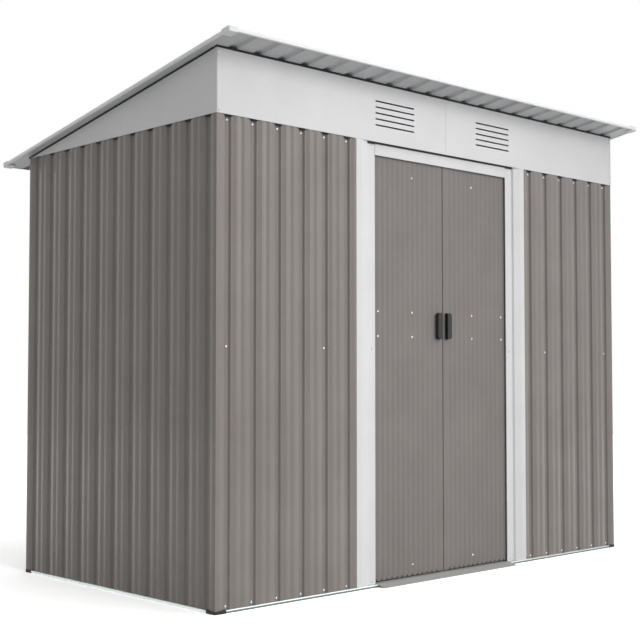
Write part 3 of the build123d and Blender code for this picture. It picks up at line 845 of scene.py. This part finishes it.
def stage_floor():
    """Round paper floor: matt and pale, and lit up to white where it is seen, so its shade stays."""
    mesh = bpy.data.meshes.new("studio_floor")
    turns = [2 * math.pi * step / FLOOR_TURNS for step in range(FLOOR_TURNS)]
    rim = [(FLOOR_REACH * math.cos(turn), FLOOR_REACH * math.sin(turn), 0) for turn in turns]
    mesh.from_pydata(rim, [], [tuple(range(FLOOR_TURNS))])
    floor = bpy.data.objects.new("studio_floor", mesh)
    bpy.context.scene.collection.objects.link(floor)
    paper, tree, place = new_finish("white studio paper")
    cloud = add_node(tree, "ShaderNodeTexNoise",
                     {"Vector": place, "Scale": repeats(PAPER_CLOUD_MM), "Detail": 2}).outputs["Fac"]
    pale = two_tones(tree, cloud, "#C4C4C4", "#C8C8C8", CLOUD_SPAN)
    matt = add_node(tree, "ShaderNodeBsdfDiffuse", {"Color": pale}).outputs["BSDF"]
    lit_up = add_node(tree, "ShaderNodeBsdfDiffuse",
                      {"Color": (FLOOR_GAIN, FLOOR_GAIN, FLOOR_GAIN, 1)}).outputs["BSDF"]
    mixed = add_node(tree, "ShaderNodeMixShader", {"Fac": shows_white(tree), 1: matt, 2: lit_up})
    add_node(tree, "ShaderNodeOutputMaterial", {"Surface": mixed.outputs["Shader"]})
    mesh.materials.append(paper)


def key_softbox():
    """Upright softbox with a grid, so that its light keeps to one part of the shed."""
    lamp = bpy.data.lights.new("key_softbox", "AREA")
    lamp.shape = "RECTANGLE"
    lamp.size = KEY_WIDTH
    lamp.size_y = KEY_HEIGHT
    lamp.spread = math.radians(KEY_SPREAD)
    lamp.energy = KEY_WATTS
    stand = bpy.data.objects.new("key_softbox", lamp)
    bpy.context.scene.collection.objects.link(stand)
    stand.location = KEY_PLACE
    stand.rotation_euler = (Vector(KEY_TARGET) - Vector(KEY_PLACE)).to_track_quat("-Z", "Y").to_euler()
    stand.visible_camera = False


def dome_patch(tree, towards, azimuth, elevation, stretch, inner, outer, strength):
    """Strength of one patch of the studio dome, fading from its inner to its outer half angle."""
    a, e = math.radians(azimuth), math.radians(elevation)
    aim = Vector((math.sin(a) * math.cos(e), -math.cos(a) * math.cos(e), math.sin(e) / stretch)).normalized()
    squashed = add_node(tree, "ShaderNodeVectorMath",
                        {0: towards, 1: (1, 1, 1 / stretch)}, operation="MULTIPLY")
    level = add_node(tree, "ShaderNodeVectorMath", {0: squashed.outputs[0]}, operation="NORMALIZE")
    near = add_node(tree, "ShaderNodeVectorMath", {0: level.outputs[0], 1: aim}, operation="DOT_PRODUCT")
    limits = {"Value": near.outputs["Value"], "From Min": math.cos(math.radians(outer)),
              "From Max": math.cos(math.radians(inner)), "To Min": 0.0, "To Max": strength}
    return add_node(tree, "ShaderNodeMapRange", limits, interpolation_type="SMOOTHSTEP").outputs["Result"]


def studio_dome():
    """White to the eye and in reflections; its level and patches light the shed."""
    world = bpy.data.worlds.new("studio_air")
    bpy.context.scene.world = world
    world.use_nodes = True
    tree = world.node_tree
    tree.nodes.clear()
    towards = add_node(tree, "ShaderNodeTexCoord").outputs["Generated"]
    level = DOME_LEVEL
    for patch in DOME_PATCHES:
        added = {0: level, 1: dome_patch(tree, towards, *patch)}
        level = add_node(tree, "ShaderNodeMath", added, operation="ADD").outputs[0]
    air = add_node(tree, "ShaderNodeBackground", {"Color": (1, 1, 1, 1), "Strength": level}).outputs[0]
    white = add_node(tree, "ShaderNodeBackground", {"Color": (1, 1, 1, 1), "Strength": 1.0}).outputs[0]
    mixed = add_node(tree, "ShaderNodeMixShader", {"Fac": shows_white(tree), 1: air, 2: white})
    add_node(tree, "ShaderNodeOutputWorld", {"Surface": mixed.outputs["Shader"]})


def photo_camera():
    lens = bpy.data.cameras.new("photo_camera")
    lens.lens = CAMERA_LENS
    lens.sensor_width = CAMERA_SENSOR
    camera = bpy.data.objects.new("photo_camera", lens)
    bpy.context.scene.collection.objects.link(camera)
    camera.location = CAMERA_PLACE
    camera.rotation_euler = (math.radians(CAMERA_PITCH), 0, math.radians(CAMERA_HEADING))
    bpy.context.scene.camera = camera
    bpy.context.scene.view_settings.view_transform = "Standard"


stage_floor()
key_softbox()
studio_dome()
photo_camera()
